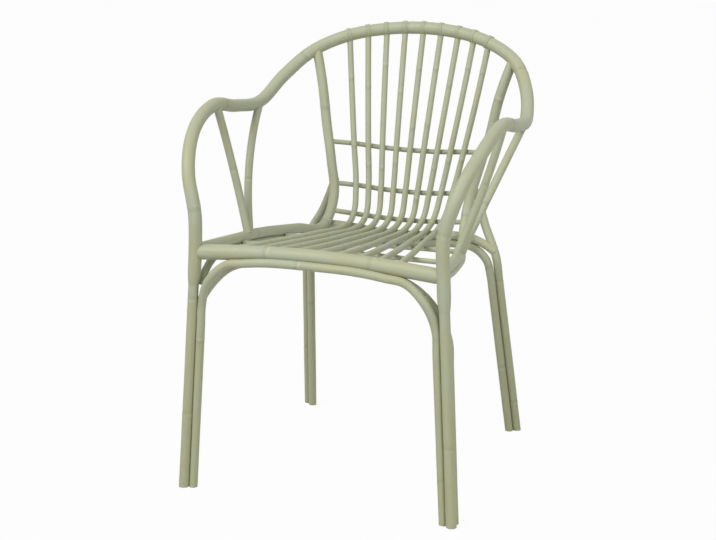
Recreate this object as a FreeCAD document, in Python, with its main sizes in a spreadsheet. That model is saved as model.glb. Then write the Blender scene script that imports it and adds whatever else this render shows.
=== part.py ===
import FreeCAD, Part
import math
import os
from FreeCAD import Placement, Rotation, Vector

# Garden armchair of bent cane poles. Millimetres, +Z up, the front looks along -Y, +X is the sitter's left.
# Every pole is a round section swept along a run of lines and tangent arcs through its stations.
# Stations are written as shares of the frame sizes below, so the curves follow when a size changes.

SIZES = [
    ("seat_height", 425.0, "seat line above the floor, at the front legs"),
    ("seat_drop", 37.0, "how much lower the seat runs at the back"),
    ("seat_crown", 11.5, "rise of the front rail in its middle"),
    ("arm_height", 643.0, "highest axis point of the arms"),
    ("hoop_height", 746.5, "axis of the back hoop in its middle"),
    ("arm_half_width", 264.0, "arm axis from the middle of the chair"),
    ("leg_half_span", 221.3, "front leg axis from the middle, at the top"),
    ("foot_half_span", 246.8, "front leg axis from the middle, at the floor"),
    ("seat_front", 251.0, "front line of the seat and the arms before the origin"),
    ("leg_front", 255.5, "front leg axis before the origin, at the top"),
    ("foot_front", 272.5, "front leg axis before the origin, at the floor"),
    ("hoop_back", 269.5, "back hoop axis behind the origin"),
    ("rear_foot_half_span", 214.7, "rear leg axis from the middle, at the floor"),
    ("rear_foot_back", 213.0, "rear leg axis behind the origin, at the floor"),
    ("rail_sink", 2.5, "front rail axis below the seat line, at the legs"),
    ("arm_start_rise", 12.0, "start of the arm bend above the seat line"),
    ("front_arch_drop", 95.0, "shoulders of the front arch below the seat line"),
    ("inner_arch_drop", 115.0, "shoulders of the inner front arch below the seat line"),
    ("brace_drop", 54.0, "front ends of the side braces below the seat line"),
    ("seam_drop", 60.0, "lower ends of the arm pole below the seat line"),
    ("rear_knee_drop", 77.0, "knees of the rear legs below the seat line"),
    ("rear_lap_rise", 50.0, "tops of the rear legs above the seat line"),
    ("rear_arch_drop", 108.0, "shoulders of the rear arch below the seat line"),
    ("pole_dia", 23.0, "arm pole, round the arms and the back hoop"),
    ("leg_dia", 18.0, "front legs"),
    ("rear_leg_dia", 15.5, "rear legs"),
    ("arch_dia", 14.8, "arches between the legs"),
    ("front_rail_dia", 26.0, "front rail"),
    ("rear_rail_dia", 15.5, "rear rail"),
    ("post_dia", 18.2, "side posts of the back and the seat"),
    ("brace_dia", 13.5, "braces under the seat sides"),
    ("cane_dia", 11.0, "long canes"),
    ("cross_dia", 9.2, "cross canes"),
    ("strut_dia", 14.2, "arm struts"),
    ("cane_pitch", 35.6, "from cane to cane along the hoop"),
    ("post_reach", 209.3, "from the middle of the hoop to a side post, along the hoop"),
    ("seat_pitch", 36.5, "from cane to cane along the front rail"),
    ("wrap_thickness", 1.4, "cane peel wrapped round the hoop"),
    ("wrap_width", 10.0, "width of one wrap"),
    ("fit_clearance", 0.15, "air between pieces that touch"),
]
CANE_COUNT = 9

doc = FreeCAD.newDocument("garden_armchair")
sheet = doc.addObject("Spreadsheet::Sheet", "sizes")
for number, (alias, value, meaning) in enumerate(SIZES, start=1):
    sheet.set(f"A{number}", meaning)
    sheet.set(f"B{number}", str(value))
    sheet.setAlias(f"B{number}", alias)
doc.recompute()
size = {alias: float(sheet.get(alias)) for alias, value, meaning in SIZES}

gap = size["fit_clearance"]
depth = size["seat_front"] + size["hoop_back"]
arm_start_height = size["seat_height"] + size["arm_start_rise"]
rail_height = size["seat_height"] - size["rail_sink"]
seam_height = size["seat_height"] - size["seam_drop"]
below_floor = 0.7 * size["leg_dia"]
sub_parts = []


# Stations

def depth_at(share):
    """Y at a share of the way from the front of the seat to the back hoop."""
    return share * depth - size["seat_front"]


def arm_station(across, back, rise):
    height = arm_start_height + rise * (size["arm_height"] - arm_start_height)
    return Vector(across * size["arm_half_width"], depth_at(back), height)


def hoop_station(across, back, rise):
    height = size["arm_height"] + rise * (size["hoop_height"] - size["arm_height"])
    return Vector(across * size["arm_half_width"], depth_at(back), height)


def back_station(across, back, rise):
    height = size["seat_height"] + rise * (size["hoop_height"] - size["seat_height"])
    return Vector(across * size["arm_half_width"], depth_at(back), height)


def seat_station(across, back, drop):
    height = size["seat_height"] - drop * size["seat_drop"]
    return Vector(across * size["arm_half_width"], depth_at(back), height)


def flipped(point):
    return Vector(-point.x, point.y, point.z)


def sided(point, side):
    return Vector(side * point.x, point.y, point.z)


def unit(vector):
    return vector * (1 / vector.Length)


# Spines

def arc_or_line(start, tangent, end):
    """The arc that leaves start along tangent and reaches end, or a line where it is straight."""
    chord = end - start
    along = unit(chord)
    sine = (tangent - along * tangent.dot(along)).Length
    if sine < 1e-4:
        return Part.LineSegment(start, end).toShape()
    bulge = unit(tangent - along * tangent.dot(along))
    turn = math.atan2(sine, tangent.dot(along))
    middle = (start + end) * 0.5 + bulge * (chord.Length / 2 * math.tan(turn / 2))
    return Part.Arc(start, middle, end).toShape()


def two_arcs(start, start_tangent, end, end_tangent):
    """Two tangent arcs from one station to the next."""
    chord = end - start
    both = start_tangent + end_tangent
    spread = 2 * (1 - start_tangent.dot(end_tangent))
    if spread < 1e-9:
        reach = chord.dot(chord) / (2 * chord.dot(both))
    else:
        lead = chord.dot(both)
        reach = (math.sqrt(lead * lead + spread * chord.dot(chord)) - lead) / spread
    meeting = (start + end + (start_tangent - end_tangent) * reach) * 0.5
    middle_tangent = unit(end - end_tangent * reach - start - start_tangent * reach)
    return [arc_or_line(start, start_tangent, meeting), arc_or_line(meeting, middle_tangent, end)]


def station_tangents(points, first, last):
    """Directions at the stations: each from the spans before and after it, the nearer one counting more."""
    tangents = []
    for index in range(1, len(points) - 1):
        before = points[index] - points[index - 1]
        after = points[index + 1] - points[index]
        tangents.append(unit(unit(before) * after.Length + unit(after) * before.Length))
    first = first or unit(unit(points[1] - points[0]) * 2 - tangents[0])
    last = last or unit(unit(points[-1] - points[-2]) * 2 - tangents[-1])
    return [unit(first)] + tangents + [unit(last)]


def spine_wire(points, first=None, last=None):
    tangents = station_tangents(points, first, last)
    edges = []
    for index in range(len(points) - 1):
        edges += two_arcs(points[index], tangents[index], points[index + 1], tangents[index + 1])
    return Part.Wire(edges)


def at_length(wire, length):
    """Point and direction on a spine at a length from its start."""
    for edge in wire.OrderedEdges:
        if length <= edge.Length:
            break
        length -= edge.Length
    parameter = edge.getParameterByLength(min(length, edge.Length))
    return edge.valueAt(parameter), unit(edge.tangentAt(parameter))


def nearest(wire, point):
    """Point and direction on a spine nearest to a point."""
    distance, pairs, info = wire.distToShape(Part.Vertex(point))
    found = pairs[0][0]
    edge = min(wire.Edges, key=lambda one: one.distToShape(Part.Vertex(found))[0])
    return found, unit(edge.tangentAt(edge.Curve.parameter(found)))


TOUCH = 1e-6


def where(wire, axis, value):
    """Point and direction where a spine crosses a level of one axis: 0 for X, 1 for Y, 2 for Z."""
    travelled = 0.0
    for edge in wire.OrderedEdges:
        ends = [edge.valueAt(edge.FirstParameter)[axis], edge.valueAt(edge.LastParameter)[axis]]
        if min(ends) - TOUCH <= value <= max(ends) + TOUCH:
            low, high = 0.0, edge.Length
            rising = ends[1] > ends[0]
            for step in range(40):
                half = (low + high) / 2
                beyond = edge.valueAt(edge.getParameterByLength(half))[axis] > value
                low, high = (low, half) if beyond == rising else (half, high)
            return at_length(wire, travelled + low)
        travelled += edge.Length
    raise ValueError("the spine does not reach that level")


def square_to(tangent, wish):
    """The direction square to a pole that points nearest to a wished one."""
    return unit(wish - tangent * tangent.dot(wish))


# Document objects

def radius_of(alias, extra=""):
    return f"sizes.{alias} / 2{extra}"


def pole(name, wire, dia):
    """A round pole swept along its spine."""
    spine = doc.addObject("Part::Feature", name + "_spine")
    spine.Shape = wire
    section = doc.addObject("Part::Circle", name + "_section")
    section.setExpression("Radius", radius_of(dia))
    start, tangent = at_length(wire, 0)
    section.Placement = Placement(start, Rotation(Vector(0, 0, 1), tangent))
    sweep = doc.addObject("Part::Sweep", name + "_pole")
    sweep.Sections = [section]
    sweep.Spine = (spine, [f"Edge{number + 1}" for number in range(len(wire.Edges))])
    sweep.Solid = True
    sweep.Frenet = False
    return sweep


def rod(name, start, end, radius):
    """A straight round bar between two points; radius is a sheet expression."""
    bar = doc.addObject("Part::Cylinder", name)
    bar.setExpression("Radius", radius)
    bar.Height = (end - start).Length
    bar.Placement = Placement(start, Rotation(Vector(0, 0, 1), end - start))
    return bar


def coper(name, seat, dia, half_length=None, air=" + sizes.fit_clearance"):
    """The cutter that shapes a pole end to the pole it meets, from that pole's point and direction."""
    point, tangent = seat
    reach = tangent * (half_length or 2 * size[dia])
    return rod(name, point - reach, point + reach, radius_of(dia, air))


def cut_away(name, body, cutters):
    for number, cutter in enumerate(cutters, start=1):
        cut = doc.addObject("Part::Cut", f"{name}_cut_{number}")
        cut.Base = body
        cut.Tool = cutter
        body = cut
    return body


def finish(name, body):
    body.Label = name
    sub_parts.append(body)
    return body


def group(name, bodies):
    bundle = doc.addObject("Part::Compound", name + "_group")
    bundle.Links = bodies
    return finish(name, bundle)


def short_of(axis_dia, end_dia):
    """How far before the axis of the met pole a coped end stops."""
    full = size[axis_dia] / 2
    shared = min(0.8 * size[end_dia] / 2, 0.9 * full)
    return math.sqrt(full * full - shared * shared)


floor_cutter = doc.addObject("Part::Box", "floor_cutter")
floor_cutter.setExpression("Length", "4 * sizes.foot_half_span")
floor_cutter.setExpression("Width", "4 * sizes.foot_front")
floor_cutter.setExpression("Height", "3 * sizes.leg_dia")
floor_corner = Vector(-2 * size["foot_half_span"], -2 * size["foot_front"], -3 * size["leg_dia"])
floor_cutter.Placement.Base = floor_corner
SIDES = (("left", -1), ("right", 1))


# Front legs and arm pole

leg_foot = Vector(size["foot_half_span"], -size["foot_front"], 0)
leg_top = Vector(size["leg_half_span"], -size["leg_front"], arm_start_height)
leg_direction = unit(leg_top - leg_foot)


def leg_at(height):
    return leg_foot + leg_direction * (height / leg_direction.z)


def make_front_leg(side_name, side):
    name = "front_leg_" + side_name
    start = sided(leg_foot - leg_direction * below_floor, side)
    bar = rod(name + "_bar", start, sided(leg_at(seam_height), side), radius_of("leg_dia"))
    finish(name, cut_away(name, bar, [floor_cutter]))


def arm_spine():
    half = [leg_at(seam_height) + leg_direction * gap, leg_at(size["seat_height"])]
    half += [arm_station(0.838, -0.0086, 0.24), arm_station(0.9054, 0.0203, 0.568)]
    half += [arm_station(0.9826, 0.1509, 0.876), arm_station(1.0, 0.3069, 1.0)]
    half += [arm_station(0.9943, 0.4861, 0.926), arm_station(0.9595, 0.6603, 0.906)]
    half += [hoop_station(0.8872, 0.7772, 0.1806), hoop_station(0.7328, 0.8863, 0.5989)]
    half += [hoop_station(0.5174, 0.9445, 0.8422), hoop_station(0.2684, 0.9879, 0.9591)]
    stations = half + [hoop_station(0, 1, 1)] + [flipped(point) for point in reversed(half)]
    return spine_wire(stations, leg_direction, flipped(leg_direction) * -1)


arm_wire = arm_spine()


for side_name, side in SIDES:
    make_front_leg(side_name, side)
finish("arm_hoop", pole("arm_hoop", arm_wire, "pole_dia"))


# Front rail and front arch

def leg_seat(height, side):
    """Point and direction of a front leg at a height."""
    return sided(leg_at(height), side), sided(leg_direction, side)


def front_rail_spine():
    end = leg_at(rail_height)
    middle = Vector(0, end.y, rail_height + size["seat_crown"])
    end.x -= 0.3 * size["pole_dia"]
    quarter = Vector(end.x / 2, end.y, rail_height + 0.75 * size["seat_crown"])
    return spine_wire([end, quarter, middle, flipped(quarter), flipped(end)])


rail_wire = front_rail_spine()


def upright_coper(name, side):
    """Cutter in the shape of the arm pole where the rail meets it."""
    return coper(name + "_arm_cutter", leg_seat(rail_height, side), "pole_dia")


def make_front_rail():
    cutters = []
    for side_name, side in SIDES:
        cutters.append(upright_coper("front_rail_" + side_name, side))
    finish("front_rail", cut_away("front_rail", pole("front_rail", rail_wire, "front_rail_dia"), cutters))


def beside(distance, across, back):
    """Offset of a pole that lies against another one, in the given direction."""
    return unit(Vector(across, back, 0)) * distance


def arch_spine(foot, shoulder, crown_points):
    """An arch from the floor up to its shoulder, over the crown points and down the other side."""
    direction = unit(shoulder - foot)
    start = foot - direction * below_floor
    run = Part.LineSegment(start, shoulder).toShape()
    stations = [shoulder] + crown_points
    stations += [flipped(point) for point in reversed(stations[:-1])]
    crown = spine_wire(stations, direction, flipped(direction) * -1)
    back_run = Part.LineSegment(flipped(shoulder), flipped(start)).toShape()
    return Part.Wire([run] + crown.OrderedEdges + [back_run])


def round_rail(share, angle):
    """Axis point of the arch against the rail, at an angle below the rail's front."""
    away = size["front_rail_dia"] / 2 + size["arch_dia"] / 2 + 3 * gap
    turned = math.radians(angle)
    seat = where(rail_wire, 0, share * size["leg_half_span"])[0]
    return seat + Vector(0, -math.cos(turned), -math.sin(turned)) * away


def make_front_arch():
    """Stands inside the legs, swings forward and lies against the lower front of the rail."""
    shoulder_height = size["seat_height"] - size["front_arch_drop"]
    reach = 1.007 * (size["leg_dia"] / 2 + size["arch_dia"] / 2 + gap)
    foot = leg_foot + beside(reach, -1, 0.3)
    shoulder = leg_at(shoulder_height) + beside(reach, -1, 0.1)
    bend = round_rail(0.706, 62)
    hip = round_rail(0.58, 47)
    flank = round_rail(0.45, 37)
    top = round_rail(0, 34)
    knee = Vector(0.87 * size["leg_half_span"], bend.y, size["seat_height"] - 0.484 * size["front_arch_drop"])
    wire = arch_spine(foot, shoulder, [knee, bend, hip, flank, top])
    finish("front_arch", cut_away("front_arch", pole("front_arch", wire, "arch_dia"), [floor_cutter]))


def make_front_inner_arch():
    """Stands close behind the legs and lies under the rail, behind the front arch."""
    thick = size["arch_dia"]
    drop = size["inner_arch_drop"]
    shoulder_height = size["seat_height"] - drop
    aside = beside(1.007 * (size["leg_dia"] / 2 + thick / 2 + gap), -0.02, 1)
    crown = [round_rail(share, 120) + Vector(0, 0, -0.06) * thick for share in (0.52, 0.26, 0)]
    behind = crown[0].y
    across = size["leg_half_span"]
    knee = Vector(0.885 * across, behind + 0.45 * thick, size["seat_height"] - 0.478 * drop)
    turn = Vector(0.708 * across, behind + 0.15 * thick, size["seat_height"] - 0.205 * drop)
    wire = arch_spine(leg_foot + aside, leg_at(shoulder_height) + aside, [knee, turn] + crown)
    body = pole("front_inner_arch", wire, "arch_dia")
    finish("front_inner_arch", cut_away("front_inner_arch", body, [floor_cutter]))


make_front_rail()
make_front_arch()
make_front_inner_arch()


# Side posts: down the back and forward along the sides of the seat

def side_post_spine():
    hoop_seat = at_length(arm_wire, arm_wire.Length / 2 - size["post_reach"])
    below = back_station(0.654, 0.8542, 0.6662)
    top = hoop_seat[0] - unit(hoop_seat[0] - below) * short_of("pole_dia", "post_dia")
    stations = [top, below, back_station(0.6056, 0.8295, 0.4536)]
    stations += [back_station(0.546, 0.797, 0.2522), back_station(0.497, 0.759, 0.047)]
    stations += [seat_station(0.516, 0.686, 0.845), seat_station(0.602, 0.5408, 0.595)]
    stations += [seat_station(0.708, 0.3707, 0.297), seat_station(0.768, 0.2026, 0.12)]
    end = leg_at(size["seat_height"] + 0.18 * size["post_dia"]) + Vector(-0.2, 0.3, 0) * size["pole_dia"]
    return spine_wire(stations + [end]), hoop_seat


post_wire, post_hoop_seat = side_post_spine()


def mirrored_seat(seat, side):
    return sided(seat[0], side), sided(seat[1], side)


def mirrored_wire(wire, side):
    if side > 0:
        return wire
    turned = wire.mirror(Vector(0, 0, 0), Vector(1, 0, 0))
    return Part.Wire(turned.OrderedEdges)


def make_side_post(side_name, side):
    name = "side_post_" + side_name
    body = pole(name, mirrored_wire(post_wire, side), "post_dia")
    cutters = [coper(name + "_hoop_cutter", mirrored_seat(post_hoop_seat, side), "pole_dia")]
    cutters.append(upright_coper(name, side))
    rail_seat = mirrored_seat(where(rail_wire, 0, 0.9 * size["leg_half_span"]), side)
    cutters.append(coper(name + "_rail_cutter", rail_seat, "front_rail_dia"))
    finish(name, cut_away(name, body, cutters))


seat_side_wire = Part.Wire(post_wire.OrderedEdges[9:])


def side_brace_spine():
    """Runs under the side post and turns down behind the arm pole."""
    away = size["post_dia"] / 2 + size["brace_dia"] / 2 + 2 * gap
    stations = []
    for share in (0.6, 0.53, 0.46, 0.39, 0.32, 0.26, 0.2):
        point, tangent = where(seat_side_wire, 1, depth_at(share))
        stations.append(point + square_to(tangent, Vector(0, 0, -1)) * away)
    end_height = size["seat_height"] - size["brace_drop"]
    reach = size["pole_dia"] / 2 + size["brace_dia"] / 2 + gap
    end = leg_at(end_height) + square_to(leg_direction, Vector(-0.37, 0.93, 0)) * reach
    bend_height = size["seat_height"] - 0.55 * size["brace_drop"]
    bend = leg_at(bend_height) + Vector(-0.9, 2.35, 0) * size["brace_dia"]
    return spine_wire(stations + [bend, end], None, leg_direction * -1)


brace_wire = side_brace_spine()


def make_side_brace(side_name, side):
    name = "side_brace_" + side_name
    finish(name, pole(name, mirrored_wire(brace_wire, side), "brace_dia"))


for side_name, side in SIDES:
    make_side_post(side_name, side)
    make_side_brace(side_name, side)


# Long canes: from the hoop down the back and forward over the seat to the front rail

def row_point(kind, share, across, back_middle, back_side, rise_middle, rise_side):
    """A station of one cane: share runs from -1 to 1 across the chair, rows bow evenly."""
    bow = share * share
    back = back_middle + (back_side - back_middle) * bow
    rise = rise_middle + (rise_side - rise_middle) * bow
    return kind(across * share, back, rise)


def back_rows(share):
    upper = row_point(back_station, share, 0.4095, 0.864, 0.8456, 0.3236, 0.3431)
    middle = row_point(back_station, share, 0.3618, 0.8191, 0.8024, 0.0947, 0.1166)
    lower = row_point(back_station, share, 0.3345, 0.7793, 0.7513, -0.0432, -0.0212)
    return upper, middle, lower


def seat_rows(share):
    turn = row_point(seat_station, share, 0.324, 0.7166, 0.6897, 0.716, 0.595)
    rear = row_point(seat_station, share, 0.328, 0.6647, 0.636, 0.757, 0.65)
    rear_cross = row_point(seat_station, share, 0.378, 0.475, 0.475, 0.5, 0.462)
    front_cross = row_point(seat_station, share, 0.462, 0.245, 0.245, 0.108, 0.127)
    return turn, rear, rear_cross, front_cross


def cane_spine(number):
    offset = number - (CANE_COUNT + 1) / 2
    share = offset / ((CANE_COUNT - 1) / 2)
    hoop_seat = at_length(arm_wire, arm_wire.Length / 2 - offset * size["cane_pitch"])
    rail_seat = at_length(rail_wire, rail_wire.Length / 2 - offset * size["seat_pitch"])
    upper, middle, lower = back_rows(share)
    stop = size["pole_dia"] / 2 + size["wrap_thickness"] + gap
    top = hoop_seat[0] - unit(hoop_seat[0] - upper) * stop
    seat = list(seat_rows(share))
    aim = rail_seat[0] + Vector(0, 0, 0.5 * size["front_rail_dia"] / 2)
    front = aim - unit(aim - seat[-1]) * 0.6 * short_of("front_rail_dia", "cane_dia")
    wire = spine_wire([top, upper, middle, lower] + seat + [front])
    return wire, hoop_seat, rail_seat


cane_wires = []
hoop_seats = []
rail_seats = []
for number in range(1, CANE_COUNT + 1):
    wire, hoop_seat, rail_seat = cane_spine(number)
    cane_wires.append(wire)
    hoop_seats.append(hoop_seat)
    rail_seats.append(rail_seat)


def make_cane(number):
    name = f"long_cane_{number}"
    cutter = coper(name + "_rail_cutter", rail_seats[number - 1], "front_rail_dia", 1.2 * size["cane_dia"])
    finish(name, cut_away(name, pole(name, cane_wires[number - 1], "cane_dia"), [cutter]))


def make_wraps(name, seats, dia):
    """Short rings of cane peel round a pole, one where each long cane ends."""
    rings = []
    for number, (point, tangent) in enumerate(seats, start=1):
        reach = tangent * (size["wrap_width"] / 2)
        label = f"{name}_{number}"
        outer = rod(label + "_outer", point - reach, point + reach, radius_of(dia, " + sizes.wrap_thickness"))
        inner = rod(label + "_inner", point - reach, point + reach, radius_of(dia, " + sizes.fit_clearance"))
        rings.append(cut_away(label, outer, [inner]))
    group(name, rings)


for number in range(1, CANE_COUNT + 1):
    make_cane(number)
make_wraps("hoop_wraps", hoop_seats, "pole_dia")


# Cross canes: behind the long canes in the back, under them in the seat

def contact_points(stations, wish, other_dia):
    """Axis points of a cross pole that touches canes 1, 3, 5, 7 and 9 at the given stations."""
    away = size["cane_dia"] / 2 + size[other_dia] / 2 + gap
    points = []
    for index in range(0, CANE_COUNT, 2):
        touched, tangent = nearest(cane_wires[index], stations[index])
        points.append(touched + square_to(tangent, wish) * away)
    return points


def shares():
    half = (CANE_COUNT - 1) / 2
    return [number / half - 1 for number in range(CANE_COUNT)]


def to_post(points, level_axis):
    """Carries a row of points on to the side posts, stopping short of the posts' axes."""
    reach = short_of("post_dia", "cross_dia")
    middle = points[len(points) // 2]
    seats = []
    full = list(points)
    for side, index in ((-1, 0), (1, -1)):
        outer = points[index]
        if level_axis == 1:
            seat = mirrored_seat(where(seat_side_wire, 1, outer.y), side)
            aim = Vector(seat[0].x, seat[0].y, outer.z)
        else:
            seat = mirrored_seat(where(post_wire, 2, 2 * outer.z - middle.z), side)
            aim = seat[0]
        end = aim - unit(aim - outer) * reach
        full = [end] + full if index == 0 else full + [end]
        seats.append(seat)
    return full, seats


def make_cross(name, points, level_axis):
    full, seats = to_post(points, level_axis)
    cutters = [coper(f"{name}_cutter_{n}", seat, "post_dia") for n, seat in enumerate(seats)]
    finish(name, cut_away(name, pole(name, spine_wire(full), "cross_dia"), cutters))


BACKWARD = Vector(0, 1, 0)
DOWNWARD = Vector(0, 0, -1)
for row, row_name in enumerate(("upper", "middle", "lower")):
    stations = [back_rows(share)[row] for share in shares()]
    make_cross("back_cross_" + row_name, contact_points(stations, BACKWARD, "cross_dia"), 2)
for row, row_name in ((2, "rear"), (3, "front")):
    stations = [seat_rows(share)[row] for share in shares()]
    make_cross("seat_cross_" + row_name, contact_points(stations, DOWNWARD, "cross_dia"), 1)


# Rear legs, rear rail and rear arch

rear_foot = Vector(size["rear_foot_half_span"], size["rear_foot_back"], 0)
rear_knee_height = size["seat_height"] - size["rear_knee_drop"]
rear_knee = Vector(0.7145 * size["arm_half_width"], depth_at(0.762), rear_knee_height)
rear_direction = unit(rear_knee - rear_foot)


def rear_leg_spine():
    """Straight from the floor to the knee, then up to lap on the back of the side post."""
    post_point, post_tangent = where(post_wire, 2, size["seat_height"] + size["rear_lap_rise"])
    lean = square_to(post_tangent, Vector(0.2, 0.98, 0))
    top = post_point + lean * (size["post_dia"] / 2 + size["rear_leg_dia"] / 2 + gap)
    shank_height = size["seat_height"] - 0.13 * size["rear_knee_drop"]
    shank = Vector(0.598 * size["arm_half_width"], depth_at(0.793), shank_height)
    start = rear_foot - rear_direction * below_floor
    run = Part.LineSegment(start, rear_knee).toShape()
    rise = spine_wire([rear_knee, shank, top], rear_direction, post_tangent * -1)
    return Part.Wire([run] + rise.OrderedEdges)


rear_leg_wire = rear_leg_spine()
for side_name, side in SIDES:
    name = "rear_leg_" + side_name
    body = pole(name, mirrored_wire(rear_leg_wire, side), "rear_leg_dia")
    finish(name, cut_away(name, body, [floor_cutter]))


def rear_rail_spine():
    """Level under the canes, with ends that bend down into the rear legs."""
    stations = []
    for wire, share in zip(cane_wires, shares()):
        stations.append(where(wire, 1, depth_at(0.7166 - 0.0135 * share * share))[0])
    points = contact_points(stations, Vector(0, 0.55, -0.83), "rear_rail_dia")
    level = points[-1].z - 0.55 * size["rear_rail_dia"]
    rail_seat = where(rear_leg_wire, 2, level - 1.4 * size["rear_rail_dia"])
    reach = short_of("rear_leg_dia", "rear_rail_dia")
    inward = Vector(-2.2, -0.39, 0) * size["rear_rail_dia"]
    flank = Vector(rail_seat[0].x + inward.x, rail_seat[0].y + inward.y, level)
    end = rail_seat[0] - unit(Vector(1, 0, -0.8)) * reach
    half = [flank] + points[: len(points) // 2 - 1 : -1]
    return spine_wire([flipped(end), flipped(flank)] + points + [flank, end]), rail_seat, half


rear_rail_wire, rear_leg_seat, rear_rail_half = rear_rail_spine()


def make_rear_rail():
    cutters = []
    for side_name, side in SIDES:
        seat = mirrored_seat(rear_leg_seat, side)
        name = "rear_rail_cutter_" + side_name
        cutters.append(coper(name, seat, "rear_leg_dia", None, " + 4 * sizes.fit_clearance"))
    finish("rear_rail", cut_away("rear_rail", pole("rear_rail", rear_rail_wire, "rear_rail_dia"), cutters))


def make_rear_arch():
    """Stands before the rear legs and follows the rear rail from below."""
    reach = 1.012 * (size["rear_leg_dia"] / 2 + size["arch_dia"] / 2 + gap)
    aside = beside(reach, -12.35, -9.15)
    foot = rear_foot + aside
    shoulder_height = size["seat_height"] - size["rear_arch_drop"]
    shoulder = foot + rear_direction * (shoulder_height / rear_direction.z)
    drop = size["rear_rail_dia"] / 2 + size["arch_dia"] / 2 + gap
    between = (rear_rail_half[0] + rear_rail_half[1]) * 0.5
    crown = []
    for station in [rear_rail_half[0], between] + rear_rail_half[1:]:
        point, tangent = nearest(rear_rail_wire, station)
        crown.append(point + square_to(tangent, DOWNWARD) * drop)
    knee = shoulder + Vector(-0.54, -0.27, 2.16) * size["arch_dia"]
    wire = arch_spine(foot, shoulder, [knee] + crown)
    finish("rear_arch", cut_away("rear_arch", pole("rear_arch", wire, "arch_dia"), [floor_cutter]))


make_rear_rail()
make_rear_arch()


# Arm struts: two a side, spread from one place on the seat side to the arm

def strut_spine(arm_seat, foot, sway):
    top = arm_seat[0] - unit(arm_seat[0] - foot) * short_of("pole_dia", "strut_dia")
    middle = (top + foot) * 0.5 + sway
    return spine_wire([foot, middle, top])


def make_strut(name, side, base_shift, outward, arm_share, sway):
    base_seat = where(seat_side_wire, 1, depth_at(0.297) + base_shift)
    arm_seat = nearest(arm_half_wire, arm_station(0.985, arm_share, 0.97))
    foot = base_seat[0] + Vector(outward * size["strut_dia"], 0, short_of("post_dia", "strut_dia"))
    body = pole(name, mirrored_wire(strut_spine(arm_seat, foot, sway * size["strut_dia"]), side), "strut_dia")
    cutters = [coper(name + "_arm_cutter", mirrored_seat(arm_seat, side), "pole_dia")]
    cutters.append(coper(name + "_base_cutter", mirrored_seat(base_seat, side), "post_dia"))
    finish(name, cut_away(name, body, cutters))


def make_struts(side_name, side):
    spread = size["strut_dia"] / 2 + gap
    make_strut("arm_strut_front_" + side_name, side, -spread, -0.07, 0.338, Vector(0.04, 0.55, -0.4))
    make_strut("arm_strut_rear_" + side_name, side, spread, 0.29, 0.642, Vector(0.4, -0.62, 0.59))


arm_half_wire = Part.Wire(arm_wire.OrderedEdges[: len(arm_wire.Edges) // 2])
for side_name, side in SIDES:
    make_struts(side_name, side)


# Checks and files

doc.recompute()
for item in doc.Objects:
    if "Invalid" in item.State or "Error" in item.State:
        raise RuntimeError(f"{item.Label} did not compute: {item.State}")
for item in sub_parts:
    if item.Shape.isNull() or not item.Shape.isValid():
        raise RuntimeError(f"{item.Label} has no valid shape")
os.makedirs("parts", exist_ok=True)
for item in sub_parts:
    item.Shape.exportStep(f"parts/{item.Label}.step")
print(len(sub_parts), "sub-parts written")
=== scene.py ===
# %% [markdown]
# # A garden armchair of bent, painted cane
# The chair is built from round cane poles that were steamed, bent and painted sage green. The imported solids
# give every pole its place. They could be shown as they are, with paint on them, but real cane swells at its
# knuckles and is never quite even. So this lesson dresses them: each pole is swept again along its own line,
# with those small swellings, and gets a paint that follows the grain.

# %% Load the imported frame
import math
import random

import bpy
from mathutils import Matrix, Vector
from mathutils.geometry import interpolate_bezier


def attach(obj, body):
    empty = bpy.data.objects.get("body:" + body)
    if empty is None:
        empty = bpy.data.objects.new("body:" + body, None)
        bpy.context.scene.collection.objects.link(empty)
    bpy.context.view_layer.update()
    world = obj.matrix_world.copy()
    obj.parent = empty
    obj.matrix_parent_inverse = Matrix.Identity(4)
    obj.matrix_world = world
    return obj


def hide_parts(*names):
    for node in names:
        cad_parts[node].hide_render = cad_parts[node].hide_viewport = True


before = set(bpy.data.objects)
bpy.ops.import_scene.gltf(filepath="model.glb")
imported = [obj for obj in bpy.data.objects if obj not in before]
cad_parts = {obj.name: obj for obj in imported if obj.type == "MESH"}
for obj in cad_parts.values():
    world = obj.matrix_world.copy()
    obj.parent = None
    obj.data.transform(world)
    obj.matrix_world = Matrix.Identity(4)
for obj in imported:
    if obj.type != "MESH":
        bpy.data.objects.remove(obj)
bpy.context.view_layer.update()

print("nodes in the frame:", len(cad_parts))

# %% [markdown]
# ## Camera
# The camera comes first, so that every later choice can be judged in the photograph's own view. It could be
# aimed at an empty by a constraint, but a place and a direction in plain numbers are easier to correct. Both
# were found by lining up the two halves of the chair with the picture. A long lens from about three metres
# keeps the legs nearly parallel.

# %% Camera
CAMERA_PLACE = (1.12318, -2.93012, 1.20820)
CAMERA_LOOK = (-0.35215, 0.89779, -0.26450)
CAMERA_LENS = 91.46
SENSOR_WIDTH = 36.0


def deselect_all():
    bpy.ops.object.select_all(action="DESELECT")


def aim(thing, direction):
    """Turns a camera or a lamp so that it looks along a direction."""
    thing.rotation_euler = direction.to_track_quat("-Z", "Y").to_euler()


deselect_all()
bpy.ops.object.camera_add(location=CAMERA_PLACE)
camera = bpy.context.object
aim(camera, Vector(CAMERA_LOOK))
camera.data.sensor_fit = "HORIZONTAL"
camera.data.sensor_width = SENSOR_WIDTH
camera.data.lens = CAMERA_LENS
bpy.context.scene.camera = camera
print("camera distance to the chair:", round(camera.location.length, 2))

# %% [markdown]
# ## Lines of the poles
# A bent pole is one smooth line with a thickness. The line could be a Bezier curve whose handles are set by
# hand. Here a few stations give each line and code sets the handles, so that one number corrects a bend. At
# every station the direction comes from the spans on both sides, and the nearer span counts more, which keeps
# tight bends tight.

# %% Stations in metres and their mirror image
MILLIMETRE = 0.001


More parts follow.
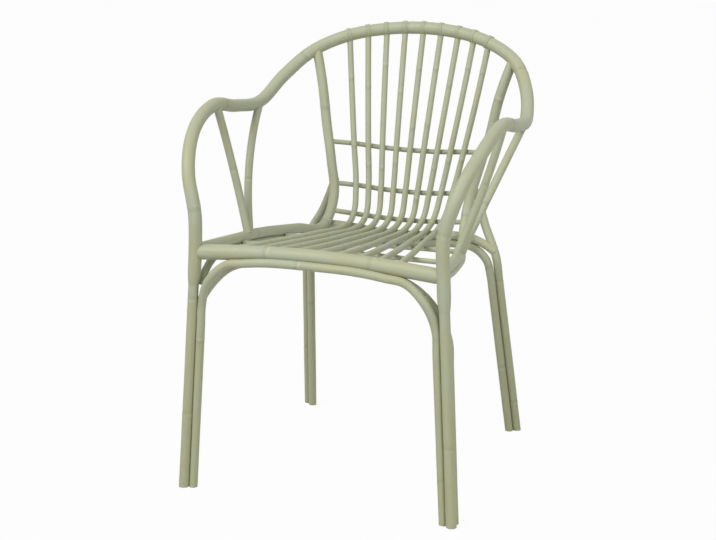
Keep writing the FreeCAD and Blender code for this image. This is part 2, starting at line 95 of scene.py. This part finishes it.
def metres(stations):
    return [Vector(station) * MILLIMETRE for station in stations]


def mirrored(stations):
    return [(-x, y, z) for x, y, z in stations]


def both_halves(half):
    """A line from the right end over the middle to the left end. The half's last station is the middle."""
    return half + mirrored(half[-2::-1])


# %% Smooth lines through stations
SPAN_SAMPLES = 26


def headings(points):
    """The direction of the line at each of its points."""
    if len(points) == 2:
        straight = (points[1] - points[0]).normalized()
        return [straight, straight]
    inner = []
    for before, here, after in zip(points, points[1:], points[2:]):
        arriving, leaving = here - before, after - here
        turn = arriving.normalized() * leaving.length + leaving.normalized() * arriving.length
        inner.append(turn.normalized())
    first = ((points[1] - points[0]).normalized() * 2 - inner[0]).normalized()
    last = ((points[-1] - points[-2]).normalized() * 2 - inner[-1]).normalized()
    return [first] + inner + [last]


def smooth_line(stations):
    points = metres(stations)
    ways = headings(points)
    line = []
    for a, b, way_a, way_b in zip(points, points[1:], ways, ways[1:]):
        third = (b - a).length / 3
        line += interpolate_bezier(a, a + way_a * third, b - way_b * third, b, SPAN_SAMPLES)[:-1]
    return line + [points[-1]]


# %% Even steps and longer ends
LINE_STEP = 0.0025
SHORTEST_SPAN = 1e-9


def even_line(line, step=LINE_STEP):
    """The same line with points at even steps, and the length from its start at each of them."""
    reached = [0.0]
    for a, b in zip(line, line[1:]):
        reached.append(reached[-1] + (b - a).length)
    count = max(2, round(reached[-1] / step))
    points, lengths, span = [], [], 0
    for number in range(count + 1):
        wanted = reached[-1] * number / count
        while span < len(line) - 2 and reached[span + 1] < wanted:
            span += 1
        share = (wanted - reached[span]) / max(reached[span + 1] - reached[span], SHORTEST_SPAN)
        points.append(line[span].lerp(line[span + 1], share))
        lengths.append(wanted)
    return points, lengths


def longer(line, start, end):
    """Pushes the ends of a line on, so that a pole reaches into the pole that it meets."""
    head = line[0] + (line[0] - line[1]).normalized() * start
    tail = line[-1] + (line[-1] - line[-2]).normalized() * end
    return [head] + line[1:-1] + [tail]


print("step along a line, in millimetres:", LINE_STEP / MILLIMETRE)

# %% [markdown]
# ## Stations
# Every bend of the chair is written here in millimetres, for the right half as seen from the front, because
# the left half is its mirror image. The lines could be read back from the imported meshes, but that gives
# thousands of points. These are the few stations that place the solids. Only the ends of the front rail are
# set back a little, so that they tuck into the uprights. The long canes are listed from the middle one
# outwards.

# %% Stations of the frame poles
BELOW_FLOOR = -12.0
ARM_HALF = [(225.5, -258.3, 365.1), (222.0, -256.0, 425.0), (221.2, -255.5, 486.4), (239.0, -240.4, 554.0),
            (259.4, -172.5, 617.5), (264.0, -91.3, 643.0), (262.5, 2.0, 627.8), (253.3, 92.7, 623.6),
            (234.2, 153.5, 661.7), (193.5, 210.3, 705.0), (136.6, 240.6, 730.2), (70.9, 263.2, 742.3),
            (0.0, 269.5, 746.5)]
FRONT_LEG = [(247.5, -273.0, BELOW_FLOOR), (225.5, -258.3, 365.1)]
FRONT_RAIL_HALF = [(215.2, -253.3, 422.5), (107.6, -256.1, 431.1), (0.0, -256.1, 434.0)]
FRONT_ARCH_HALF = [(231.6, -268.1, BELOW_FLOOR), (213.4, -259.2, 290.0), (211.0, -258.0, 330.0),
                   (192.5, -265.9, 379.0), (156.2, -265.9, 409.5), (128.4, -270.3, 414.7),
                   (99.6, -272.7, 419.0), (0.0, -273.3, 422.3)]
INNER_ARCH_HALF = [(247.2, -256.3, BELOW_FLOOR), (230.7, -245.3, 270.0), (228.4, -243.8, 310.0),
                   (195.9, -239.0, 370.0), (156.7, -243.4, 401.4), (115.1, -245.6, 411.8),
                   (57.5, -245.6, 414.2), (0.0, -245.6, 415.1)]
SIDE_POST = [(189.4, 209.4, 697.8), (172.7, 193.6, 639.2), (159.9, 180.8, 570.8), (144.1, 163.8, 506.1),
             (131.2, 144.1, 440.1), (136.2, 106.1, 393.7), (158.9, 30.5, 403.0), (186.9, -58.1, 414.0),
             (202.8, -145.5, 420.6), (217.2, -248.9, 428.3)]
SIDE_BRACE = [(150.8, 56.3, 380.3), (161.2, 23.0, 387.6), (173.5, -13.5, 392.5), (184.8, -49.6, 396.9),
              (192.9, -85.6, 400.2), (198.1, -116.7, 402.3), (203.2, -148.1, 404.6), (211.6, -225.4, 395.3),
              (218.4, -241.0, 369.9)]
REAR_LEG = [(215.6, 215.3, BELOW_FLOOR), (191.5, 153.0, 310.0), (188.6, 145.6, 348.0), (157.9, 161.8, 415.0),
            (139.4, 172.7, 471.1)]
REAR_RAIL_HALF = [(182.4, 144.6, 364.9), (152.0, 138.5, 383.7), (85.6, 119.1, 392.2), (42.7, 123.1, 386.9),
                  (0.0, 124.5, 385.4)]
REAR_ARCH_HALF = [(203.2, 206.1, BELOW_FLOOR), (181.3, 149.6, 280.0), (178.5, 142.4, 317.0),
                  (170.5, 138.4, 349.0), (146.1, 137.2, 369.6), (118.9, 127.0, 376.4), (86.0, 119.1, 376.9),
                  (43.9, 123.0, 371.7), (0.0, 124.5, 370.1)]
STRUT_FRONT = [(195.0, -103.7, 424.8), (228.7, -82.0, 523.6), (261.3, -76.0, 633.8)]
STRUT_REAR = [(197.7, -89.2, 423.8), (230.8, -14.0, 527.5), (252.6, 78.9, 614.5)]
print("half stations of the arm hoop:", len(ARM_HALF))

# %% Stations of the canes
LONG_CANES = [
    [(0.0, 265.5, 734.1), (0.0, 198.7, 529.0), (0.0, 175.3, 455.4), (0.0, 154.6, 411.1),
     (0.0, 122.0, 398.5), (0.0, 95.0, 397.0), (0.0, -3.8, 406.5), (0.0, -123.5, 421.0), (0.0, -248.8, 439.4)],
    [(35.1, 264.2, 733.0), (27.0, 198.1, 529.4), (23.9, 174.8, 455.9), (22.1, 153.7, 411.6),
     (21.4, 121.1, 398.8), (21.6, 94.0, 397.2), (24.9, -3.8, 406.6), (30.5, -123.5, 421.0),
     (36.2, -248.8, 439.1)],
    [(69.7, 259.3, 729.9), (54.1, 196.3, 530.6), (47.8, 173.2, 457.2), (44.2, 151.0, 412.9),
     (42.8, 118.5, 399.6), (43.3, 91.2, 398.0), (49.9, -3.8, 406.9), (61.0, -123.5, 420.8),
     (72.3, -248.8, 438.2)],
    [(103.1, 249.8, 725.1), (81.1, 193.3, 532.6), (71.6, 170.5, 459.4), (66.2, 146.4, 415.1),
     (64.2, 114.1, 401.0), (64.9, 86.6, 399.2), (74.8, -3.8, 407.3), (91.5, -123.5, 420.6),
     (108.5, -248.8, 436.6)],
    [(134.9, 237.2, 717.6), (108.1, 189.1, 535.3), (95.5, 166.6, 462.5), (88.3, 140.1, 418.2),
     (85.5, 108.0, 403.0), (86.6, 80.0, 400.9), (99.8, -3.8, 407.9), (122.0, -123.5, 420.3),
     (144.6, -248.9, 434.4)],
]
CROSS_HALVES = {
    "back_cross_upper": [(145.1, 177.1, 538.0), (107.6, 199.0, 532.5), (53.8, 206.1, 527.5),
                         (0.0, 208.5, 525.9)],
    "back_cross_middle": [(127.2, 158.1, 463.6), (94.8, 175.9, 458.2), (47.4, 182.6, 453.2),
                          (0.0, 184.8, 451.6)],
    "back_cross_lower": [(123.8, 133.4, 416.3), (87.0, 146.5, 410.4), (43.4, 157.5, 405.0),
                         (0.0, 161.1, 403.2)],
    "seat_cross_rear": [(162.1, -4.7, 397.7), (99.9, -4.7, 397.7), (50.0, -4.8, 396.7), (0.0, -4.9, 396.3)],
    "seat_cross_front": [(191.0, -124.5, 410.1), (122.2, -124.5, 410.1), (61.1, -124.8, 410.7),
                         (0.0, -124.8, 410.8)],
}
MIDDLE_CANE = 5
print("different long canes:", len(LONG_CANES), "cross canes:", len(CROSS_HALVES))

# %% [markdown]
# ## Paint
# The chair was dipped or brushed in one satin sage green. Up close such paint is never one colour: it is
# thinner and warmer in places, it settles in the grain, and it wears on the ridges of the knuckles. A pattern
# on plain object coordinates would cut straight through the bends. Each pole therefore carries its own
# coordinates: two across the pole and one along it. The shader maths is written as Python arithmetic, through
# a small class that wraps a socket.

# %% A socket that can do arithmetic
class Value:
    """One socket of a finish. Arithmetic on it adds Math nodes."""

    def __init__(self, finish, socket):
        self.finish = finish
        self.socket = socket

    def math(self, operation, first, second):
        return self.finish.node("ShaderNodeMath", {"operation": operation}, {0: first, 1: second})

    def __add__(self, other):
        return self.math("ADD", self, other)

    def __radd__(self, other):
        return self.math("ADD", other, self)

    def __sub__(self, other):
        return self.math("SUBTRACT", self, other)

    def __rsub__(self, other):
        return self.math("SUBTRACT", other, self)

    def __mul__(self, other):
        return self.math("MULTIPLY", self, other)

    def __rmul__(self, other):
        return self.math("MULTIPLY", other, self)

    def clamped(self):
        return self.finish.node("ShaderNodeClamp", {}, {"Value": self})

    def between(self, low, high):
        """0 below low, 1 above high, smooth between them."""
        settings = {"interpolation_type": "SMOOTHSTEP"}
        limits = {"Value": self, "From Min": low, "From Max": high}
        return self.finish.node("ShaderNodeMapRange", settings, limits)


# %% A material in the making
class Finish:
    """Adds nodes to a new material."""

    def __init__(self, name):
        self.material = bpy.data.materials.new(name)
        self.material.use_nodes = True
        self.tree = self.material.node_tree
        self.shader = self.tree.nodes["Principled BSDF"]

    def node(self, kind, settings, inputs, output=0):
        made = self.tree.nodes.new(kind)
        for key, value in settings.items():
            setattr(made, key, value)
        for key, value in inputs.items():
            self.feed(made.inputs[key], value)
        return Value(self, made.outputs[output])

    def feed(self, socket, value):
        if isinstance(value, Value):
            self.tree.links.new(value.socket, socket)
        else:
            socket.default_value = value

    def read(self, attribute, output):
        """A number or a vector that every point of the mesh carries."""
        return self.node("ShaderNodeAttribute", {"attribute_name": attribute}, {}, output)

    def mix(self, share, first, second):
        """A blend of two colours."""
        inputs = {0: share, 6: first, 7: second}
        return self.node("ShaderNodeMix", {"data_type": "RGBA"}, inputs, 2)

    def noise(self, place, stretch, scale, detail=2.0, rough=0.5):
        stretched = self.node("ShaderNodeVectorMath", {"operation": "MULTIPLY"}, {0: place, 1: stretch})
        inputs = {"Vector": stretched, "Scale": scale, "Detail": detail, "Roughness": rough}
        return self.node("ShaderNodeTexNoise", {}, inputs)


# %% [markdown]
# ## Painted cane finish
# The layers are laid one over the other. Those of the real paint are a broad drift between a cool and
# a warm green, patches where the brown cane warms the paint, fine streaks along the grain, dark paint
# settled beside each knuckle, pale wear on its ridge, and a few specks. Right after the drift, a yellower
# green is painted by height alone, low on the legs towards the floor. One noise could tint it all, but then
# every mark would have the same size. The streaks also drive a shallow bump and the gloss, so that the
# highlights break up along the pole. The height on the legs is read from Object coordinates, because every
# piece stands at the origin.

# %% Colours and layers of the paint
COOL_GREEN = (0.428, 0.464, 0.332, 1)
WARM_GREEN = (0.440, 0.448, 0.284, 1)
# LOW_GREEN is a yellower green, painted by height alone, low on the legs towards the floor.
LOW_GREEN = (0.420, 0.430, 0.240, 1)
CANE_BROWN = (0.40, 0.335, 0.235, 1)
SETTLED_PAINT = (0.20, 0.21, 0.125, 1)
WORN_RIDGE = (0.56, 0.575, 0.44, 1)
DRIFT_NOISE = {"stretch": (1, 1, 0.6), "scale": 17.0}
PATCH_NOISE = {"stretch": (1, 1, 0.4), "scale": 58.0, "detail": 3.0}
STREAK_NOISE = {"stretch": (1, 1, 0.035), "detail": 4.0, "rough": 0.6}
SPECK_NOISE = {"stretch": (1, 1, 0.5), "scale": 900.0}
DRIFT_RANGE = (0.34, 0.66)
LOW_HEIGHTS, LOW_SHARE = (0.10, 0.46), 0.55
BROWN_RANGE, BROWN_SHARE = (0.52, 0.74), 0.22
STREAK_RANGE, STREAK_SHARE = (0.55, 0.78), 0.22
GROOVE_SHARE, GROOVE_STREAK_SHARE = 0.10, 0.22
WEAR_RANGE, WEAR_SHARE = (0.4, 0.62), 0.55
SPECK_RANGE, SPECK_SHARE = (0.66, 0.74), 0.25
print("cool and warm green:", COOL_GREEN[:3], WARM_GREEN[:3])

# %% Painted cane
SATIN_ROUGHNESS = 0.44
STREAK_ROUGHNESS, GROOVE_ROUGHNESS, RIDGE_POLISH = 0.16, 0.12, 0.05
STREAK_RELIEF, SPECK_RELIEF = 0.7, 0.3
BUMP_STRENGTH = 0.35
PAINT_SPECULAR = 0.4


def painted_cane(name, grain_scale, bump_depth):
    finish = Finish(name)
    place = finish.read("pole_space", "Vector")
    ridge = finish.read("knuckle", "Fac")
    groove = finish.read("groove", "Fac")
    spot = finish.node("ShaderNodeTexCoord", {}, {}, "Object")
    level = finish.node("ShaderNodeSeparateXYZ", {}, {0: spot}, "Z")
    drift = finish.noise(place, **DRIFT_NOISE)
    patches = finish.noise(place, **PATCH_NOISE)
    streaks = finish.noise(place, scale=grain_scale, **STREAK_NOISE)
    specks = finish.noise(place, **SPECK_NOISE)

    colour = finish.mix(drift.between(*DRIFT_RANGE), COOL_GREEN, WARM_GREEN)
    # A yellower green painted by height alone, strongest low on the legs towards the floor.
    colour = finish.mix((1 - level.between(*LOW_HEIGHTS)) * LOW_SHARE, colour, LOW_GREEN)
    colour = finish.mix(patches.between(*BROWN_RANGE) * BROWN_SHARE, colour, CANE_BROWN)
    colour = finish.mix(streaks.between(*STREAK_RANGE) * STREAK_SHARE, colour, SETTLED_PAINT)
    colour = finish.mix(groove * (GROOVE_SHARE + streaks * GROOVE_STREAK_SHARE), colour, SETTLED_PAINT)
    colour = finish.mix(ridge * patches.between(*WEAR_RANGE) * WEAR_SHARE, colour, WORN_RIDGE)
    colour = finish.mix(specks.between(*SPECK_RANGE) * SPECK_SHARE, colour, SETTLED_PAINT)
    finish.feed(finish.shader.inputs["Base Color"], colour)

    rougher = SATIN_ROUGHNESS + streaks * STREAK_ROUGHNESS + groove * GROOVE_ROUGHNESS
    finish.feed(finish.shader.inputs["Roughness"], (rougher - ridge * RIDGE_POLISH).clamped())
    relief = streaks * STREAK_RELIEF + specks * SPECK_RELIEF
    bump_inputs = {"Strength": BUMP_STRENGTH, "Distance": bump_depth, "Height": relief}
    finish.feed(finish.shader.inputs["Normal"], finish.node("ShaderNodeBump", {}, bump_inputs))
    finish.shader.inputs["Specular IOR Level"].default_value = PAINT_SPECULAR
    return finish.material


# %% One finish for each thickness of pole
finishes = {
    "painted_pole": painted_cane("sage_painted_pole", grain_scale=420.0, bump_depth=0.0006),
    "painted_cane": painted_cane("sage_painted_cane", grain_scale=620.0, bump_depth=0.0004),
    "painted_wrap": painted_cane("sage_painted_wrap", grain_scale=900.0, bump_depth=0.0003),
}
print("finishes:", sorted(finishes))

# %% [markdown]
# ## Growing a pole
# Real cane swells a little at each knuckle, with a shallow groove behind the ridge, and it is never quite the
# same thickness. Displacement could do this on a plain tube. A curve object does it with fewer faces: every
# point of the curve has its own radius, and the bevel follows it. The curve is then converted to a mesh, its
# ends are merged shut, and feet are cut level with bisect.

# %% Knuckles along a pole
RIDGE_WIDTH = 0.0022
GROOVE_WIDTH = 0.0036
GROOVE_SHIFT = 0.0052
FIRST_KNUCKLE = (0.25, 0.8)
NEXT_KNUCKLE = (0.7, 1.3)
BARE_END = 0.02


def bell(distance, width):
    return math.exp(-(distance / width) ** 2)


def knuckle_places(chance, length, spacing):
    places = []
    place = spacing * chance.uniform(*FIRST_KNUCKLE)
    while place < length - BARE_END:
        places.append(place)
        place += spacing * chance.uniform(*NEXT_KNUCKLE)
    return places


def strongest(lengths, places, shift, width):
    """How strongly each point of a line feels the nearest of some places."""
    return [max([bell(s - place - shift, width) for place in places], default=0.0) for s in lengths]


print("ridge and groove width in millimetres:", RIDGE_WIDTH / MILLIMETRE, GROOVE_WIDTH / MILLIMETRE)

# %% Thickness along a pole
FULL_TURN = 6.28
SWELL = 0.010
LONG_WAVE, SHORT_WAVE, SHORT_WAVE_SHARE = 21, 47, 0.6
RIDGE_LEAST, RIDGE_SHARE = 0.00016, 0.018
SINK_LEAST, SINK_SHARE = 0.00006, 0.008


def thickness(radius, lengths, ridges, grooves, chance):
    """Radius at each point: slow swelling, ridges and grooves."""
    turn, other_turn = chance.uniform(0, FULL_TURN), chance.uniform(0, FULL_TURN)
    rise = RIDGE_LEAST + RIDGE_SHARE * radius
    sink = SINK_LEAST + SINK_SHARE * radius
    radii = []
    for s, ridge, groove in zip(lengths, ridges, grooves):
        waves = math.sin(s * LONG_WAVE + turn) + SHORT_WAVE_SHARE * math.sin(s * SHORT_WAVE + other_turn)
        radii.append(radius * (1 + SWELL * waves) + ridge * rise - groove * sink)
    return radii


# %% A curve with a radius at every point
def bare_curve(name, points, radii, bevel_steps):
    deselect_all()
    bpy.ops.curve.primitive_bezier_curve_add()
    curve = bpy.context.object
    curve.name = name
    curve.data.dimensions = "3D"
    curve.data.splines.clear()
    spline = curve.data.splines.new("POLY")
    spline.points.add(len(points) - 1)
    for knot, place, radius in zip(spline.points, points, radii):
        knot.co = (*place, 1.0)
        knot.radius = radius
    curve.data.bevel_depth = 1.0
    curve.data.bevel_resolution = bevel_steps
    curve.data.use_fill_caps = True


# %% Coordinates that follow the pole
def add_numbers(mesh, name, kind, key, numbers):
    attribute = mesh.attributes.new(name, kind, "POINT")
    attribute.data.foreach_set(key, numbers)


def write_pole_space(mesh, sides, lengths, radius, start, ridges, grooves):
    """The converted curve lists its two end caps first, the far one before the near one, then its rings."""
    space, ridge_values, groove_values = [], [], []
    for index in range(len(mesh.vertices)):
        ring = index // sides - 2
        ring = len(lengths) - 1 if ring == -2 else max(ring, 0)
        angle = 2 * math.pi * (index % sides) / sides
        space += [radius * math.cos(angle), radius * math.sin(angle), start + lengths[ring]]
        ridge_values.append(ridges[ring])
        groove_values.append(grooves[ring])
    add_numbers(mesh, "pole_space", "FLOAT_VECTOR", "vector", space)
    add_numbers(mesh, "knuckle", "FLOAT", "value", ridge_values)
    add_numbers(mesh, "groove", "FLOAT", "value", groove_values)


# %% Closed ends and level feet
MERGE_DISTANCE = 1e-6
SMOOTH_ANGLE = math.radians(50)
FLOOR_POINT, UP = (0, 0, 0), (0, 0, 1)


def close_ends(pole, cut_feet):
    deselect_all()
    pole.select_set(True)
    bpy.context.view_layer.objects.active = pole
    bpy.ops.object.mode_set(mode="EDIT")
    bpy.ops.mesh.select_all(action="SELECT")
    bpy.ops.mesh.remove_doubles(threshold=MERGE_DISTANCE)
    if cut_feet:
        bpy.ops.mesh.select_all(action="SELECT")
        bpy.ops.mesh.bisect(plane_co=FLOOR_POINT, plane_no=UP, use_fill=True, clear_inner=True)
    bpy.ops.object.mode_set(mode="OBJECT")
    bpy.ops.object.shade_smooth_by_angle(angle=SMOOTH_ANGLE)


# %% A finished pole
PATTERN_SPREAD = 40


def grow_pole(name, line, radius, spacing, bevel_steps, cut_feet=False, shape=None):
    """One pole along a line. A spacing of 0 leaves out the knuckles, and a shape scales the radius."""
    chance = random.Random(name)
    points, lengths = even_line(line)
    places = knuckle_places(chance, lengths[-1], spacing) if spacing else []
    ridges = strongest(lengths, places, 0.0, RIDGE_WIDTH)
    grooves = strongest(lengths, places, GROOVE_SHIFT, GROOVE_WIDTH)
    radii = thickness(radius, lengths, ridges, grooves, chance)
    if shape:
        radii = [r * shape(s, lengths[-1]) for r, s in zip(radii, lengths)]
    bare_curve(name, points, radii, bevel_steps)
    bpy.ops.object.convert(target="MESH")
    pole = bpy.context.object
    sides = 4 + 2 * bevel_steps
    write_pole_space(pole.data, sides, lengths, radius, chance.uniform(0, PATTERN_SPREAD), ridges, grooves)
    close_ends(pole, cut_feet)
    return pole


def dress(pole, node, slot):
    """The pole stands for a node of the frame and takes the finish of its slot."""
    pole.data.materials.clear()
    pole.data.materials.append(finishes[slot])
    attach(pole, "root")
    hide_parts(node)


# %% [markdown]
# ## Arms, legs, rail and arches
# The thick poles carry the chair, so they are grown first. On the real chair the arms and the rim of the back
# are one bent pole, which slims towards its two lower ends, where it meets the legs below the front rail.
# Joints could be cut with booleans. Ends that are pushed a few millimetres into the pole that they meet look
# like coped joints too, and keep clean faces.

# %% Arm hoop
POLE_RADIUS = 0.0115
LEG_RADIUS = 0.0090
POLE_SPACING = 0.24
HOOP_STEPS = 10
TIP_LENGTH = 0.032


def slim_tips(s, length):
    """The ends of the arm hoop slim down to the legs."""
    share = min(min(s, length - s) / TIP_LENGTH, 1.0)
    return 1 - (1 - LEG_RADIUS / POLE_RADIUS) * (1 - share) ** 2


hoop_line = smooth_line(both_halves(ARM_HALF))
arm_hoop = grow_pole("arm_hoop_pole", hoop_line, POLE_RADIUS, POLE_SPACING, HOOP_STEPS, shape=slim_tips)
dress(arm_hoop, "arm_hoop", "painted_pole")
print("arm hoop faces:", len(arm_hoop.data.polygons))

# %% Poles that cross from side to side
RAIL_RADIUS = 0.0130
ARCH_RADIUS = 0.0074
REAR_RADIUS = 0.00775
POLE_STEPS = 8
BLUNT_LENGTH, BLUNT_SHARE = 0.010, 0.22


def blunt_ends(s, length):
    """The thick front rail is shaved at its ends, so that it fits into the thinner arm poles."""
    share = min(min(s, length - s) / BLUNT_LENGTH, 1.0)
    return 1 - BLUNT_SHARE * (1 - share) ** 2


# Node, half line, radius, knuckle spacing, whether feet are cut, how far the ends are pushed on, and shape.
ACROSS_POLES = [
    ("front_rail", FRONT_RAIL_HALF, RAIL_RADIUS, 0.19, False, 0.002, blunt_ends),
    ("front_arch", FRONT_ARCH_HALF, ARCH_RADIUS, POLE_SPACING, True, 0.0, None),
    ("front_inner_arch", INNER_ARCH_HALF, ARCH_RADIUS, POLE_SPACING, True, 0.0, None),
    ("rear_rail", REAR_RAIL_HALF, REAR_RADIUS, POLE_SPACING, False, 0.002, None),
    ("rear_arch", REAR_ARCH_HALF, ARCH_RADIUS, POLE_SPACING, True, 0.0, None),
]
for node, half, radius, spacing, feet, push, shape in ACROSS_POLES:
    line = longer(smooth_line(both_halves(half)), push, push)
    pole = grow_pole(node + "_pole", line, radius, spacing, POLE_STEPS, feet, shape)
    dress(pole, node, "painted_pole")
print("poles across:", len(ACROSS_POLES))

# %% Poles that come in pairs
POST_RADIUS = 0.0091
BRACE_RADIUS = 0.00675
STRUT_RADIUS = 0.0071
# Node, line, radius, knuckle spacing, whether feet are cut, and how far the start and the end are pushed on.
PAIRED_POLES = [
    ("front_leg", FRONT_LEG, LEG_RADIUS, 0.21, True, 0.0, 0.0),
    ("side_post", SIDE_POST, POST_RADIUS, 0.2, False, 0.003, 0.003),
    ("side_brace", SIDE_BRACE, BRACE_RADIUS, 0.17, False, 0.0, 0.008),
    ("rear_leg", REAR_LEG, REAR_RADIUS, 0.21, True, 0.0, 0.0),
    ("arm_strut_front", STRUT_FRONT, STRUT_RADIUS, 0.16, False, 0.003, 0.003),
    ("arm_strut_rear", STRUT_REAR, STRUT_RADIUS, 0.16, False, 0.003, 0.003),
]
for base, stations, radius, spacing, feet, push, end_push in PAIRED_POLES:
    for side, own_stations in (("right", stations), ("left", mirrored(stations))):
        node = base + "_" + side
        line = longer(smooth_line(own_stations), push, end_push)
        dress(grow_pole(node + "_pole", line, radius, spacing, POLE_STEPS, feet), node, "painted_pole")
print("paired poles:", 2 * len(PAIRED_POLES))

# %% [markdown]
# ## Long canes and cross canes
# The slim canes run from the hoop down the back and forward over the seat. The cross canes lie behind and
# under them. An array modifier could repeat one cane, but no two of them bend alike, so each has its own
# stations. They are the same kind of pole, only thinner and with closer knuckles.

# %% Canes
CANE_RADIUS = 0.0055
CROSS_RADIUS = 0.0046
CANE_SPACING = 0.15
CANE_STEPS, CROSS_STEPS = 5, 4
CANE_PUSH = (0.003, 0.002)
CROSS_PUSH = (0.002, 0.002)
for offset, stations in enumerate(LONG_CANES):
    for side in ((1,) if offset == 0 else (1, -1)):
        own_stations = stations if side > 0 else mirrored(stations)
        node = "long_cane_" + str(MIDDLE_CANE + side * offset)
        line = longer(smooth_line(own_stations), *CANE_PUSH)
        dress(grow_pole(node + "_pole", line, CANE_RADIUS, CANE_SPACING, CANE_STEPS), node, "painted_cane")
for node, half in CROSS_HALVES.items():
    line = longer(smooth_line(both_halves(half)), *CROSS_PUSH)
    dress(grow_pole(node + "_pole", line, CROSS_RADIUS, CANE_SPACING, CROSS_STEPS), node, "painted_cane")
print("canes dressed:", 2 * len(LONG_CANES) - 1 + len(CROSS_HALVES))

# %% [markdown]
# ## Wraps on the hoop
# Where a long cane meets the hoop, a strip of cane peel is wound round the hoop. A plain ring would do from
# afar. Each wrap is a short helix of a thin strip instead, so that its turns show as fine ribs.

# %% Wraps
WRAP_WIDTH = 0.0100
WRAP_TURNS = 4
TURN_POINTS = 28
PEEL_RADIUS = 0.00135
PEEL_STEPS = 2
PEEL_LIFT = 0.0003
CANE_PITCH = 0.0356
HOOP_STEP = 0.001
hoop_points, hoop_lengths = even_line(hoop_line, HOOP_STEP)


def hoop_place(offset):
    """Point and direction of the hoop at a length from its middle."""
    index = round(len(hoop_points) / 2 + offset / HOOP_STEP)
    return hoop_points[index], (hoop_points[index + 1] - hoop_points[index - 1]).normalized()


def helix(middle, along, radius, width, turns):
    aside = along.orthogonal().normalized()
    other = along.cross(aside)
    line = []
    for number in range(turns * TURN_POINTS + 1):
        angle = 2 * math.pi * number / TURN_POINTS
        lead = width * (number / (turns * TURN_POINTS) - 0.5)
        line.append(middle + along * lead + (aside * math.cos(angle) + other * math.sin(angle)) * radius)
    return line


wraps = []
for number in range(1 - MIDDLE_CANE, MIDDLE_CANE):
    middle, along = hoop_place(number * CANE_PITCH)
    coil = helix(middle, along, POLE_RADIUS + PEEL_LIFT, WRAP_WIDTH - 2 * PEEL_RADIUS, WRAP_TURNS)
    wraps.append(grow_pole("wrap_" + str(number + MIDDLE_CANE), coil, PEEL_RADIUS, 0, PEEL_STEPS))
print("wraps:", len(wraps), "on a hoop of", round(hoop_lengths[-1], 3), "metres")

# %% The wraps as one piece
deselect_all()
for wrap in wraps:
    wrap.select_set(True)
bpy.context.view_layer.objects.active = wraps[0]
bpy.ops.object.join()
hoop_wraps = bpy.context.object
hoop_wraps.name = "hoop_peel_wraps"
dress(hoop_wraps, "hoop_wraps", "painted_wrap")
print("faces of all wraps:", len(hoop_wraps.data.polygons))

# %% [markdown]
# ## Floor, background and light
# The photograph is a plain studio shot on white. More light would make the floor white, but it would bleach
# the paint as well. So the floor and the world glow white only for the camera, for reflections and through
# glass, and the floor keeps a soft shadow. One large soft lamp stands high on the left, a weaker one fills
# from the right.

# %% Floor
FLOOR_WIDTH = 14.0
FLOOR_WHITE = (0.55, 0.55, 0.55, 1)
FLOOR_ROUGHNESS = 0.9
FLOOR_SPECULAR = 0.1
deselect_all()
bpy.ops.mesh.primitive_plane_add(size=FLOOR_WIDTH)
floor = bpy.context.object
floor.name = "studio_floor"
floor_finish = Finish("studio_white")
floor_finish.shader.inputs["Base Color"].default_value = FLOOR_WHITE
floor_finish.shader.inputs["Roughness"].default_value = FLOOR_ROUGHNESS
floor_finish.shader.inputs["Specular IOR Level"].default_value = FLOOR_SPECULAR
floor.data.materials.append(floor_finish.material)
print("floor width in metres:", FLOOR_WIDTH)

# %% White floor for the camera
FLOOR_GLOW = 0.965
WHITE = (1, 1, 1, 1)
SEEING_RAYS = ("Is Camera Ray", "Is Glossy Ray", "Is Transmission Ray")


def glow_on_camera(finish, share):
    """The share where the camera, a reflection or glass looks at the surface, and 0 for all other light."""
    rays = [finish.node("ShaderNodeLightPath", {}, {}, ray) for ray in SEEING_RAYS]
    camera_ray, glossy_ray, glass_ray = rays
    return (camera_ray + glossy_ray + glass_ray).clamped() * share


white = floor_finish.node("ShaderNodeEmission", {}, {"Color": WHITE, "Strength": 1.0})
plain = Value(floor_finish, floor_finish.shader.outputs[0])
layers = {0: glow_on_camera(floor_finish, FLOOR_GLOW), 1: plain, 2: white}
shown = floor_finish.node("ShaderNodeMixShader", {}, layers)
floor_finish.feed(floor_finish.tree.nodes["Material Output"].inputs["Surface"], shown)
print("glow of the floor:", FLOOR_GLOW)

# %% World
WORLD_LIGHT = 0.37


class WorldFinish(Finish):
    """Adds nodes to a world, which has its node tree already."""

    def __init__(self, tree):
        self.tree = tree


world = bpy.data.worlds.new("studio_world")
bpy.context.scene.world = world
world.use_nodes = True
sky = WorldFinish(world.node_tree)
background = world.node_tree.nodes["Background"]
background.inputs["Color"].default_value = WHITE
seen = glow_on_camera(sky, 1.0)
sky.feed(background.inputs["Strength"], WORLD_LIGHT + seen * (1 - WORLD_LIGHT))
print("light of the world:", WORLD_LIGHT)

# %% Lamps
CHAIR_MIDDLE = Vector((0, 0, 0.42))
# Name, place, width in metres and power in watts.
LAMPS = [
    ("key_lamp", (-2.8, -3.9, 5.6), 3.6, 306.0),
    ("fill_lamp", (3.6, -2.6, 2.5), 2.4, 72.0),
    ("back_lamp", (0.9, 2.6, 2.6), 1.6, 6.0),
]
for name, place, width, power in LAMPS:
    deselect_all()
    bpy.ops.object.light_add(type="AREA", location=place)
    lamp = bpy.context.object
    lamp.name = name
    lamp.data.size = width
    lamp.data.energy = power
    aim(lamp, CHAIR_MIDDLE - Vector(place))
print("lamps:", len(LAMPS))

# %% [markdown]
# ## Finish
# The colours are shown through the Standard view transform.

# %% Finish
bpy.context.scene.view_settings.view_transform = "Standard"
